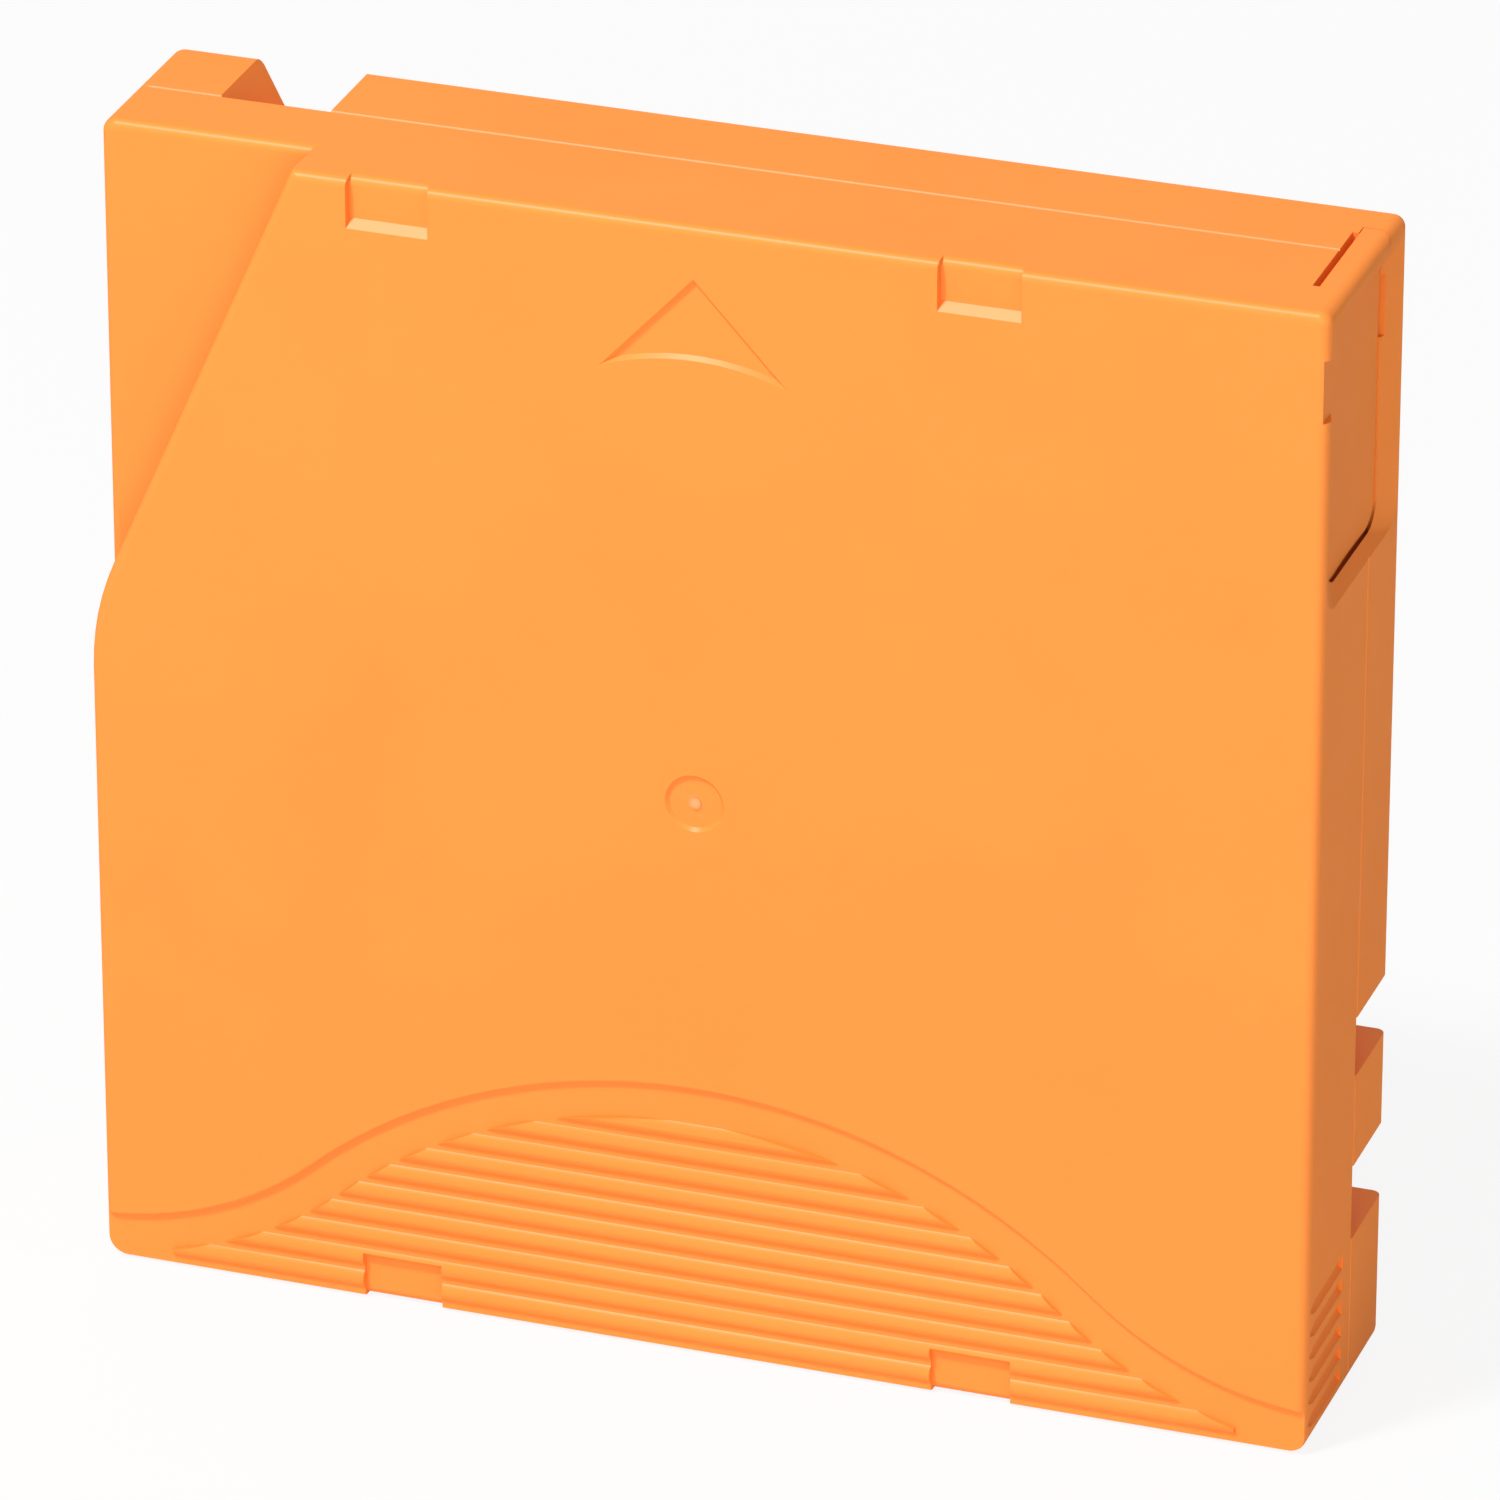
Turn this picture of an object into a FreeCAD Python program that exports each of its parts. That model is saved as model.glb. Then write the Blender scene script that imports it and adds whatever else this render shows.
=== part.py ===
import FreeCAD, Part
import math
import os

# Single-reel tape cleaning cartridge, in millimetres.
# It is modelled lying flat: X to the right, Y from the rear edge to the front edge, Z from the lower
# face to the upper face. The finished pieces are then stood on the rear edge, front edge up.

# Case
CASE_WIDTH = 105.4
CASE_LENGTH = 102.0
CASE_HEIGHT = 21.5
PARTING_HEIGHT = 8.85
SIDE_WALL = 1.6
FACE_WALL = 1.6
FLOOR_WALL = 2.05
EDGE_ROUND = 0.8
REAR_LEFT_ROUND = 1.8
REAR_RIGHT_ROUND = 1.4
FRONT_LEFT_ROUND = 1.2
DOOR_CORNER_ROUND = 1.0
INNER_CORNER_ROUND = 0.4
SEAM_CHAMFER = 0.18
LIP_THICKNESS = 0.7
LIP_HEIGHT = 1.0

# Clearances, and the depth by which joined or cutting shapes pass each other
FIT_GAP = 0.1
RUN_GAP = 0.15
REST_GAP = 0.05
OVERLAP = 0.3

# Insertion guide at the front left of the upper face
GUIDE_DROP = 5.1
GUIDE_FRONT_WIDTH = 18.4
GUIDE_LENGTH = 42.1
GUIDE_BLEND_ROUND = 24.0
GUIDE_TIP_ROUND = 0.4

# Gripper pockets in the upper face, at the front and rear edges
POCKET_LEFT = 26.05
POCKET_RIGHT = 23.9
POCKET_WIDTH = 7.0
POCKET_REACH = 4.3
POCKET_DEPTH = 0.7
POCKET_SIDE_SLOPE = 0.1
POCKET_END_SLOPE = 0.7

# Arrow and gate mark in the upper face
ARROW_TIP_MARGIN = 4.5
ARROW_BASE_MARGIN = 13.1
ARROW_HALF_BASE = 8.0
ARROW_BASE_RISE = 1.5
ARROW_DEPTH = 0.35
GATE_RADIUS = 2.55
GATE_DEPTH = 0.3
GATE_NUB_RADIUS = 0.5

# Grip field at the rear of the upper face: a wave-shaped step with ridges below it
WAVE_PEAK = 24.9
WAVE_CREST_RADIUS = 51.0
WAVE_BEND_X = 34.0
WAVE_FOOT_RADIUS = 31.0
GRIP_STEP = 0.4
RIDGE_FIRST = 1.6
RIDGE_PITCH = 2.105
RIDGE_COUNT = 10
RIDGE_WIDTH = 1.6
RIDGE_HEIGHT = 0.38
RIDGE_INSET = 3.5
RIDGE_SIDE_MARGIN = 6.0

# Finger grooves in both sides of the upper shell
GROOVE_FIRST = 2.3
GROOVE_COUNT = 6
GROOVE_DEPTH = 0.5
GROOVE_WIDTH = 1.3
GROOVE_LENGTH = 9.3
GROOVE_MARGIN = 1.0
GROOVE_RUNOUT = 1.4

# Notches in the lower shell: two on each side and one in the front edge
NOTCH_DEPTH = 3.4
NOTCH_SPANS = ((13.7, 20.5), (28.8, 34.2))
NOTCH_WALL = 1.3
FRONT_NOTCH_FROM_SIDE = 12.3
FRONT_NOTCH_WIDTH = 9.6
FRONT_NOTCH_DEPTH = 5.5
FRONT_NOTCH_SLOPE = 0.51

# Reel
TAPE_THICKNESS = 0.12
TAPE_SIDE_GAP = 0.1
PACK_FROM_FLANGE = 10.85
HUB_RADIUS = 22.0
HUB_WALL = 3.0
HUB_BASE = 2.0
FLANGE_THICKNESS = 1.0
FLANGE_GAP = 1.05
REEL_LIFT = 1.25
REEL_HEADROOM = 1.75
HUB_WINDOW_RADIUS = 18.6
HUB_WINDOW_GAP = 0.4
SPIGOT_DROP = 0.4
SEAT_WIDTH = 1.8

# Drive teeth, brake teeth and the pieces between them; the base and tip are half-widths in tooth pitches
TOOTH_BASE = 0.48
TOOTH_TIP = 0.06
DRIVE_TEETH = 60
DRIVE_RING_WIDTH = 3.2
DRIVE_TOOTH_HEIGHT = 1.4
BRAKE_TEETH = 36
BRAKE_RING_WIDTH = 3.6
BRAKE_TOOTH_HEIGHT = 1.2
BRAKE_MESH_GAP = 0.25
BRAKE_PEDESTAL = 1.7
BRAKE_DISC = 1.8
BRAKE_TRAVEL = 2.0
BRAKE_BOSS_RADIUS = 6.2
BRAKE_BOSS_GAP = 1.0
BRAKE_KEY_SPAN = 8.4
BRAKE_KEY_THICKNESS = 2.0
BRAKE_NUB_RADIUS = 3.0
BRAKE_SPRING_WIRE = 0.9
BRAKE_SPRING_GAP = 0.5
BRAKE_SPRING_TURNS = 3
CLUTCH_THICKNESS = 1.0
CLUTCH_HOLE_RADIUS = 5.0
RELEASE_LEG_RADIUS = 1.4
RELEASE_LEG_ANGLE = 90.0
RELEASE_PLATE = 1.4
RELEASE_DISC_RADIUS = 7.0
RELEASE_ARM_WIDTH = 4.0
RELEASE_REACH = 1.1
LEG_COUNT = 3

# Tape window, sliding door and its spring
WINDOW_MARGIN = 0.55
WINDOW_LENGTH = 24.0
WINDOW_CORNER = 2.2
WINDOW_REAR_BEVEL = 0.9
WINDOW_LIP_SLOPE = 3.0
TRACK_WALL = 0.95
DOOR_PLATE = 0.9
DOOR_DISH = 0.2
DOOR_TAIL = 3.4
DOOR_TRAVEL = 22.0
DOOR_TAB = 1.2
DOOR_GUIDE = 0.6
DOOR_GUIDE_HEIGHT = 1.0
SLOT_WIDTH = 0.6
SLOT_FROM_SIDE = 2.45
SLOT_LENGTH = 11.1
TONGUE_END = 4.05
TONGUE_ROUND = 1.2
DOOR_SPRING_RADIUS = 1.05
DOOR_SPRING_WIRE = 0.4
DOOR_SPRING_TURNS = 16
SPRING_SEAT = 1.2
SPRING_SEAT_GAP = 0.3
COIL_STEPS = 12
COIL_WIRE_SIDES = 6

# Leader pin
PIN_FROM_FRONT = 6.7
PIN_FROM_DOOR = 0.25
PIN_DISC_RADIUS = 2.3
PIN_DISC_HEIGHT = 0.95
PIN_WAIST_RADIUS = 1.2
PIN_SOCKET_GAP = 0.4
PIN_SEAT_HEIGHT = 1.2
PIN_WALL = 0.8
PIN_WALL_HEIGHT = 1.9
PIN_EDGE_NOTCH = 0.45
CLIP_WALL = 0.65
CLIP_SLOT = 1.2
RETAINER_SHEET = 0.3
RETAINER_HEIGHT = 0.7
RETAINER_HOOK = 45.0

# Screws and locating holes
SCREW_FROM_SIDE = 5.0
SCREW_FROM_REAR = 5.2
SCREW_FROM_FRONT = 9.0
PIN_SCREW_FROM_SIDE = 19.7
PIN_SCREW_FROM_FRONT = 4.6
SCREW_RADIUS = 1.1
PILOT_GAP = 0.02
SCREW_LENGTH = 9.0
SCREW_HEAD_RADIUS = 2.1
SCREW_HEAD_HEIGHT = 1.4
SCREW_HEAD_SINK = 0.8
SCREW_CROSS_SPAN = 2.5
SCREW_CROSS_WIDTH = 0.7
SCREW_CROSS_DEPTH = 0.8
BOSS_WALL = 1.5
LOCATING_FROM_SIDE = 8.7
LOCATING_FROM_FRONT = 16.0
LOCATING_RADIUS = 2.2
LOCATING_STRETCH = 1.0
LOCATING_DEPTH = 2.5
LOCATING_ROOF = 1.0

# Write-protect slide, label recess and chip at the rear
SLIDE_FROM_SIDE = 13.7
SLIDE_BUTTON_WIDTH = 6.0
SLIDE_TRAVEL = 3.5
SLIDE_PLATE_MARGIN = 1.2
SLIDE_PLATE = 1.2
SLIDE_SINK = 0.5
SLIDE_LOW = 3.2
SLIDE_RIB_HEIGHT = 0.35
LABEL_FROM_LEFT = 24.7
LABEL_FROM_RIGHT = 5.2
LABEL_MARGIN = 2.0
LABEL_DEPTH = 0.3
LABEL_ROUND = 1.0
CHIP_FROM_SIDE = 18.7
CHIP_LENGTH = 13.0
CHIP_WIDTH = 7.6
CHIP_THICKNESS = 0.8
CHIP_RIB = 1.0
CHIP_RIB_REACH = 5.6
CHIP_RIB_SPREAD = 4.3
CHIP_TILT = 45.0

# Round wall around the reel
REEL_WALL = 1.0
REEL_WALL_GAP = 0.9
REEL_WALL_HEIGHT = 3.0
REEL_WALL_SPANS = ((118.0, 152.0), (208.0, 244.0), (296.0, 332.0))

# Values worked out from the sizes above
HALF_WIDTH = CASE_WIDTH / 2
REEL_Y = CASE_LENGTH / 2
FLOOR = FLOOR_WALL
CEILING = CASE_HEIGHT - FACE_WALL
GUIDE_HEIGHT = CASE_HEIGHT - GUIDE_DROP
GUIDE_CEILING = GUIDE_HEIGHT - FACE_WALL
FRONT_NOTCH_X = FRONT_NOTCH_FROM_SIDE - HALF_WIDTH
PANEL_X = HALF_WIDTH - TRACK_WALL - RUN_GAP
PLATE_X = HALF_WIDTH - SIDE_WALL - RUN_GAP
DOOR_INNER_X = PLATE_X - DOOR_PLATE
GUIDE_RIB_X = DOOR_INNER_X - RUN_GAP
FRONT_INNER = CASE_LENGTH - SIDE_WALL
WINDOW_REAR = FRONT_INNER - WINDOW_LENGTH
FLANGE_RADIUS = min(REEL_Y - SIDE_WALL, GUIDE_RIB_X - DOOR_GUIDE) - FLANGE_GAP
PACK_RADIUS = FLANGE_RADIUS - PACK_FROM_FLANGE
REEL_BOTTOM = FLOOR + REEL_LIFT
REEL_TOP = CEILING - REEL_HEADROOM
FLANGE_SEAT = REEL_TOP - FLANGE_THICKNESS
TAPE_LOW = REEL_BOTTOM + FLANGE_THICKNESS + TAPE_SIDE_GAP
TAPE_HIGH = FLANGE_SEAT - TAPE_SIDE_GAP
WINDOW_LOW = TAPE_LOW - WINDOW_MARGIN
WINDOW_HIGH = TAPE_HIGH + WINDOW_MARGIN
TRACK_REAR = WINDOW_REAR - DOOR_TAIL - DOOR_TRAVEL - RUN_GAP
DOOR_REAR = WINDOW_REAR - DOOR_TAIL
DOOR_FRONT = FRONT_INNER - RUN_GAP
PIN_X = DOOR_INNER_X - DOOR_GUIDE - PIN_FROM_DOOR - PIN_DISC_RADIUS
PIN_Y = CASE_LENGTH - PIN_FROM_FRONT
PIN_LOW = FLOOR + PIN_SEAT_HEIGHT + REST_GAP
PIN_HIGH = CEILING - PIN_SEAT_HEIGHT - REST_GAP
HUB_BORE = HUB_RADIUS - HUB_WALL
HUB_SPIGOT = HUB_WINDOW_RADIUS - HUB_WINDOW_GAP
HUB_UNDERSIDE = REEL_BOTTOM - SPIGOT_DROP
HUB_FLOOR = HUB_UNDERSIDE + HUB_BASE
DRIVE_INNER = HUB_SPIGOT - DRIVE_RING_WIDTH
LEG_CIRCLE = HUB_SPIGOT - DRIVE_RING_WIDTH / 2
BRAKE_RADIUS = HUB_SPIGOT
BRAKE_INNER = BRAKE_RADIUS - BRAKE_RING_WIDTH
BRAKE_ROOT = HUB_FLOOR + BRAKE_PEDESTAL
BRAKE_UNDERSIDE = BRAKE_ROOT + BRAKE_TOOTH_HEIGHT + BRAKE_MESH_GAP
BRAKE_TOP = BRAKE_UNDERSIDE + BRAKE_DISC
BRAKE_BOSS_TOP = CEILING - BRAKE_TRAVEL - BRAKE_BOSS_GAP
RELEASE_LOW = HUB_FLOOR + REST_GAP
RELEASE_HIGH = RELEASE_LOW + RELEASE_PLATE
DOOR_SPRING_X = HALF_WIDTH - SIDE_WALL - DOOR_SPRING_RADIUS - DOOR_SPRING_WIRE / 2 - RUN_GAP
DOOR_SPRING_Z = (TAPE_LOW + TAPE_HIGH) / 2
SPRING_SEAT_Y = NOTCH_SPANS[-1][1] + NOTCH_WALL + SPRING_SEAT_GAP + SPRING_SEAT
SLIDE_HIGH = PARTING_HEIGHT - FIT_GAP
DOOR_LOW = FLOOR + RUN_GAP
DOOR_HIGH = CEILING - RUN_GAP
SCREW_SEAT = SCREW_HEAD_SINK + SCREW_HEAD_HEIGHT
SCREW_TOP = SCREW_SEAT + SCREW_LENGTH
SCREW_PLACES = (
    (SCREW_FROM_SIDE - HALF_WIDTH, SCREW_FROM_REAR),
    (HALF_WIDTH - SCREW_FROM_SIDE, SCREW_FROM_REAR),
    (SCREW_FROM_SIDE - HALF_WIDTH, CASE_LENGTH - SCREW_FROM_FRONT),
    (HALF_WIDTH - PIN_SCREW_FROM_SIDE, CASE_LENGTH - PIN_SCREW_FROM_FRONT),
)
LOCATING_X = HALF_WIDTH - LOCATING_FROM_SIDE
LOCATING_Y = CASE_LENGTH - LOCATING_FROM_FRONT
SLIDE_X = SLIDE_FROM_SIDE - HALF_WIDTH
LABEL_LEFT = LABEL_FROM_LEFT - HALF_WIDTH
LABEL_RIGHT = HALF_WIDTH - LABEL_FROM_RIGHT
CHIP_X = HALF_WIDTH - CHIP_FROM_SIDE


def point(x, y, z=0.0):
    return FreeCAD.Vector(x, y, z)


def block(x0, x1, y0, y1, z0, z1):
    return Part.makeBox(x1 - x0, y1 - y0, z1 - z0, point(x0, y0, z0))


def post(x, y, radius, z0, z1):
    return Part.makeCylinder(radius, z1 - z0, point(x, y, z0))


def ring(x, y, inner, outer, z0, z1):
    return post(x, y, outer, z0, z1).cut(post(x, y, inner, z0, z1))


def join(shapes):
    first = shapes[0]
    if len(shapes) == 1:
        return first
    return first.multiFuse(shapes[1:]).removeSplitter()


def outline(corners):
    """A closed flat wire through (x, y, radius) corners, listed anticlockwise, with round corners."""
    edges = []
    starts = []
    ends = []
    middles = []
    for index, (x, y, radius) in enumerate(corners):
        here = point(x, y)
        before = point(*corners[index - 1][:2])
        after = point(*corners[(index + 1) % len(corners)][:2])
        incoming = (here - before).normalize()
        outgoing = (after - here).normalize()
        half_turn = incoming.getAngle(outgoing) / 2
        reach = radius * math.tan(half_turn)
        inward = (outgoing - incoming).normalize()
        starts.append(here - incoming * reach)
        ends.append(here + outgoing * reach)
        middles.append(here + inward * (radius / math.cos(half_turn) - radius))
    for index in range(len(corners)):
        if corners[index][2] > 0:
            edges.append(Part.Arc(starts[index], middles[index], ends[index]).toShape())
        following = (index + 1) % len(corners)
        if ends[index].distanceToPoint(starts[following]) > 1e-6:
            edges.append(Part.LineSegment(ends[index], starts[following]).toShape())
    return Part.Wire(Part.__sortEdges__(edges))


def inset(corners, distance):
    """The same corners with every side moved inwards."""
    moved = []
    for index, (x, y, radius) in enumerate(corners):
        here = point(x, y)
        before = point(*corners[index - 1][:2])
        after = point(*corners[(index + 1) % len(corners)][:2])
        incoming = (here - before).normalize()
        outgoing = (after - here).normalize()
        half_turn = incoming.getAngle(outgoing) / 2
        inward = (outgoing - incoming).normalize()
        corner = here + inward * (distance / math.cos(half_turn))
        moved.append((corner.x, corner.y, max(radius - distance, INNER_CORNER_ROUND)))
    return moved


def slab(corners, z0, z1):
    face = Part.Face(outline(corners))
    solid = face.extrude(point(0, 0, z1 - z0))
    solid.translate(point(0, 0, z0))
    return solid


def edges_at(shape, z):
    return [edge for edge in shape.Edges if all(abs(vertex.Z - z) < 1e-6 for vertex in edge.Vertexes)]


def spin(shape, x, y, angle):
    turned = shape.copy()
    turned.rotate(point(x, y), point(0, 0, 1), angle)
    return turned


def mirrored(shape):
    return shape.mirror(point(0, 0), point(1, 0, 0))


def bent_strip(points, thickness, z0, z1):
    """A flat strip on edge that follows straight runs between (x, y) points."""
    pieces = []
    for (x0, y0), (x1, y1) in zip(points, points[1:]):
        length = math.hypot(x1 - x0, y1 - y0)
        run = block(0, length, -thickness / 2, thickness / 2, z0, z1)
        run.rotate(point(0, 0), point(0, 0, 1), math.degrees(math.atan2(y1 - y0, x1 - x0)))
        run.translate(point(x0, y0))
        pieces.append(run)
    pieces += [post(x, y, thickness / 2, z0, z1) for x, y in points[1:-1]]
    return join(pieces)


def coil(radius, wire, height, turns):
    """A wire coil standing on the XY plane, axis on Z: short straight runs of a many-sided wire."""
    count = turns * COIL_STEPS
    corners = [2 * math.pi * side / COIL_WIRE_SIDES for side in range(COIL_WIRE_SIDES + 1)]
    sections = []
    for index in range(count + 1):
        turn = 2 * math.pi * index / COIL_STEPS
        middle = wire / 2 + (height - wire) * index / count
        ring_points = []
        for corner in corners:
            reach = radius + wire / 2 * math.cos(corner)
            z = middle + wire / 2 * math.sin(corner)
            ring_points.append(point(reach * math.cos(turn), reach * math.sin(turn), z))
        sections.append(Part.makePolygon(ring_points))
    return Part.makeLoft(sections, True, True)


def face_tooth(inner, outer, count, root, height):
    """One radial tooth along +X, rising from root by height (or hanging, where height is negative)."""
    sections = []
    sunk = root - math.copysign(OVERLAP, height)
    for radius in (inner, outer):
        pitch = 2 * math.pi * radius / count
        low = pitch * TOOTH_BASE
        tip = pitch * TOOTH_TIP
        top = root + height
        corners = [(-low, sunk), (-low, root), (-tip, top), (tip, top), (low, root), (low, sunk)]
        sections.append(Part.makePolygon([point(radius, y, z) for y, z in corners + corners[:1]]))
    return Part.makeLoft(sections, True, True)


def tooth_ring(inner, outer, count, root, height, start=0.0, keep=lambda angle: True):
    tooth = face_tooth(inner, outer, count, root, height)
    angles = [start + 360.0 * index / count for index in range(count)]
    teeth = [spin(tooth, 0, 0, angle) for angle in angles if keep(angle)]
    for item in teeth:
        item.translate(point(0, REEL_Y))
    return teeth


def leg_angles():
    return [RELEASE_LEG_ANGLE + 360.0 * index / LEG_COUNT for index in range(LEG_COUNT)]


def on_reel(radius, angle):
    turn = math.radians(angle)
    return radius * math.cos(turn), REEL_Y + radius * math.sin(turn)


def case_corners():
    return [
        (-HALF_WIDTH, 0, REAR_LEFT_ROUND),
        (HALF_WIDTH, 0, REAR_RIGHT_ROUND),
        (HALF_WIDTH, CASE_LENGTH, DOOR_CORNER_ROUND),
        (-HALF_WIDTH, CASE_LENGTH, FRONT_LEFT_ROUND),
    ]


def face_corners():
    return case_corners()[:3] + [
        (-HALF_WIDTH + GUIDE_FRONT_WIDTH, CASE_LENGTH, GUIDE_TIP_ROUND),
        (-HALF_WIDTH, CASE_LENGTH - GUIDE_LENGTH, GUIDE_BLEND_ROUND),
    ]


def upper_outside():
    guide = slab(case_corners(), PARTING_HEIGHT, GUIDE_HEIGHT)
    guide = guide.makeFillet(EDGE_ROUND, edges_at(guide, GUIDE_HEIGHT))
    guide = guide.makeChamfer(SEAM_CHAMFER, edges_at(guide, PARTING_HEIGHT))
    plate = slab(face_corners(), PARTING_HEIGHT, CASE_HEIGHT)
    plate = plate.makeFillet(EDGE_ROUND, edges_at(plate, CASE_HEIGHT))
    plate = plate.makeChamfer(SEAM_CHAMFER, edges_at(plate, PARTING_HEIGHT))
    return guide.fuse(plate)


def lower_outside():
    solid = slab(case_corners(), 0, PARTING_HEIGHT)
    solid = solid.makeFillet(EDGE_ROUND, edges_at(solid, 0))
    return solid.makeChamfer(SEAM_CHAMFER, edges_at(solid, PARTING_HEIGHT))


def wave_bend(inward):
    """Where the crest arc meets the foot arcs, for the wave line moved inwards."""
    return WAVE_BEND_X * (WAVE_CREST_RADIUS - inward) / WAVE_CREST_RADIUS


def wave_height(x, inward):
    """Height of the wave line above the rear edge: a crest arc and two foot arcs, tangent to each other."""
    crest_y = WAVE_PEAK - WAVE_CREST_RADIUS
    if abs(x) <= wave_bend(inward):
        return crest_y + math.sqrt((WAVE_CREST_RADIUS - inward) ** 2 - x ** 2)
    foot_x, foot_y = wave_foot()
    return foot_y - math.sqrt((WAVE_FOOT_RADIUS + inward) ** 2 - (foot_x - abs(x)) ** 2)


def wave_foot():
    """Centre of the right-hand foot arc."""
    crest_y = WAVE_PEAK - WAVE_CREST_RADIUS
    stretch = (WAVE_CREST_RADIUS + WAVE_FOOT_RADIUS) / WAVE_CREST_RADIUS
    drop = math.sqrt(WAVE_CREST_RADIUS ** 2 - WAVE_BEND_X ** 2)
    return WAVE_BEND_X * stretch, crest_y + drop * stretch


def below_wave(inward, z0, z1):
    """The part of a layer that lies below the wave line, with the line moved inwards."""
    side = HALF_WIDTH + OVERLAP
    bend = wave_bend(inward)
    middle = (bend + side) / 2
    left = [point(-x, wave_height(x, inward)) for x in (side, middle, bend)]
    crest = [point(x, wave_height(x, inward)) for x in (-bend, 0, bend)]
    right = [point(x, wave_height(x, inward)) for x in (bend, middle, side)]
    rear = min(right[-1].y, 0) - OVERLAP
    edges = [Part.Arc(*points).toShape() for points in (left, crest, right)]
    edges.append(Part.makePolygon([right[-1], point(side, rear), point(-side, rear), left[0]]))
    layer = Part.Face(Part.Wire([part for edge in edges for part in edge.Edges]))
    solid = layer.extrude(point(0, 0, z1 - z0))
    solid.translate(point(0, 0, z0))
    return solid


def grip_step():
    """The thin layer taken off the face below the wave line."""
    return below_wave(0, CASE_HEIGHT - GRIP_STEP, CASE_HEIGHT + OVERLAP)


def ridges():
    """Grip ridges: round bars sunk so that only their tops show, cut off along the wave moved inwards."""
    radius = (RIDGE_WIDTH ** 2 / 4 + RIDGE_HEIGHT ** 2) / (2 * RIDGE_HEIGHT)
    half = HALF_WIDTH - RIDGE_SIDE_MARGIN
    base = CASE_HEIGHT - GRIP_STEP
    field = below_wave(RIDGE_INSET, base - OVERLAP, CASE_HEIGHT)
    bars = []
    for index in range(RIDGE_COUNT):
        start = point(-half, RIDGE_FIRST + RIDGE_PITCH * index, base + RIDGE_HEIGHT - radius)
        bar = Part.makeCylinder(radius, 2 * half, start, point(1, 0, 0))
        bars.append(bar.common(field))
    return bars


def pocket(x, at_front):
    """A gripper pocket with sloped walls, open to the edge of the face and rounded over there."""
    half = POCKET_WIDTH / 2
    floor = CASE_HEIGHT - POCKET_DEPTH
    sections = []
    for z, slope in ((CASE_HEIGHT + OVERLAP, -OVERLAP / POCKET_DEPTH), (floor, 1.0)):
        side = half - POCKET_SIDE_SLOPE * slope
        reach = POCKET_REACH - POCKET_END_SLOPE * slope
        corners = [(-side, -EDGE_ROUND), (side, -EDGE_ROUND), (side, reach), (-side, reach)]
        sections.append(Part.makePolygon([point(a, b, z) for a, b in corners + corners[:1]]))
    side = half - POCKET_SIDE_SLOPE
    nose_start = point(-half, EDGE_ROUND, floor - EDGE_ROUND)
    nose = Part.makeCylinder(EDGE_ROUND, POCKET_WIDTH, nose_start, point(1, 0, 0))
    edge = block(-side, side, -EDGE_ROUND, EDGE_ROUND, floor - EDGE_ROUND, floor).cut(nose)
    solid = Part.makeLoft(sections, True, True).fuse(edge)
    if at_front:
        solid.rotate(point(0, 0), point(0, 0, 1), 180)
        solid.translate(point(0, CASE_LENGTH))
    solid.translate(point(x, 0))
    return solid


def arrow():
    tip = point(0, CASE_LENGTH - ARROW_TIP_MARGIN)
    base = CASE_LENGTH - ARROW_BASE_MARGIN
    left = point(-ARROW_HALF_BASE, base)
    right = point(ARROW_HALF_BASE, base)
    crown = point(0, base + ARROW_BASE_RISE)
    edges = [
        Part.Arc(left, crown, right).toShape(),
        Part.LineSegment(right, tip).toShape(),
        Part.LineSegment(tip, left).toShape(),
    ]
    solid = Part.Face(Part.Wire(edges)).extrude(point(0, 0, ARROW_DEPTH + OVERLAP))
    solid.translate(point(0, 0, CASE_HEIGHT - ARROW_DEPTH))
    return sloped(solid, ARROW_DEPTH)


def sloped(solid, depth):
    """A cutter for a shallow mark in the upper face, with its walls sloped from its floor to the face."""
    return solid.makeChamfer(depth, edges_at(solid, CASE_HEIGHT - depth))


def gate_mark():
    floor = CASE_HEIGHT - GATE_DEPTH
    dish = sloped(post(0, REEL_Y, GATE_RADIUS, floor, CASE_HEIGHT + OVERLAP), GATE_DEPTH)
    return dish.cut(post(0, REEL_Y, GATE_NUB_RADIUS, floor, CASE_HEIGHT - GATE_DEPTH / 2))


def side_grooves():
    """Finger grooves on the right side, cut with round bars that run out before the upper face."""
    radius = (GROOVE_WIDTH ** 2 / 4 + GROOVE_DEPTH ** 2) / (2 * GROOVE_DEPTH)
    x = HALF_WIDTH - GROOVE_DEPTH + radius
    shoulder = CASE_HEIGHT - GROOVE_MARGIN - GROOVE_RUNOUT
    bar = post(x, 0, radius, CASE_HEIGHT - GROOVE_MARGIN - GROOVE_LENGTH, shoulder)
    tip = Part.makeCone(radius, radius - GROOVE_DEPTH, GROOVE_RUNOUT, point(x, 0, shoulder))
    grooves = []
    for index in range(GROOVE_COUNT):
        groove = bar.fuse(tip)
        groove.translate(point(0, GROOVE_FIRST + RIDGE_PITCH * index))
        grooves.append(groove)
    return grooves


def front_notch(spread, z0, z1):
    """The front-edge notch, a trapezoid that narrows inwards, widened all round by spread."""
    half = FRONT_NOTCH_WIDTH / 2 + spread
    depth = FRONT_NOTCH_DEPTH + spread
    narrow = half - FRONT_NOTCH_SLOPE * depth
    front = CASE_LENGTH
    corners = [(-narrow, front - depth), (narrow, front - depth), (half, front), (-half, front)]
    return slab([(x + FRONT_NOTCH_X, y, 0) for x, y in corners], z0, z1)


def side_notches(spread, z0, z1):
    """The side notches on the right, widened by spread."""
    return [
        block(HALF_WIDTH - NOTCH_DEPTH - spread, HALF_WIDTH, low - spread, high + spread, z0, z1)
        for low, high in NOTCH_SPANS
    ]


def notch_group(spread, z0, z1):
    right = side_notches(spread, z0, z1)
    return right + [mirrored(item) for item in right] + [front_notch(spread, z0, z1)]


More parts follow.
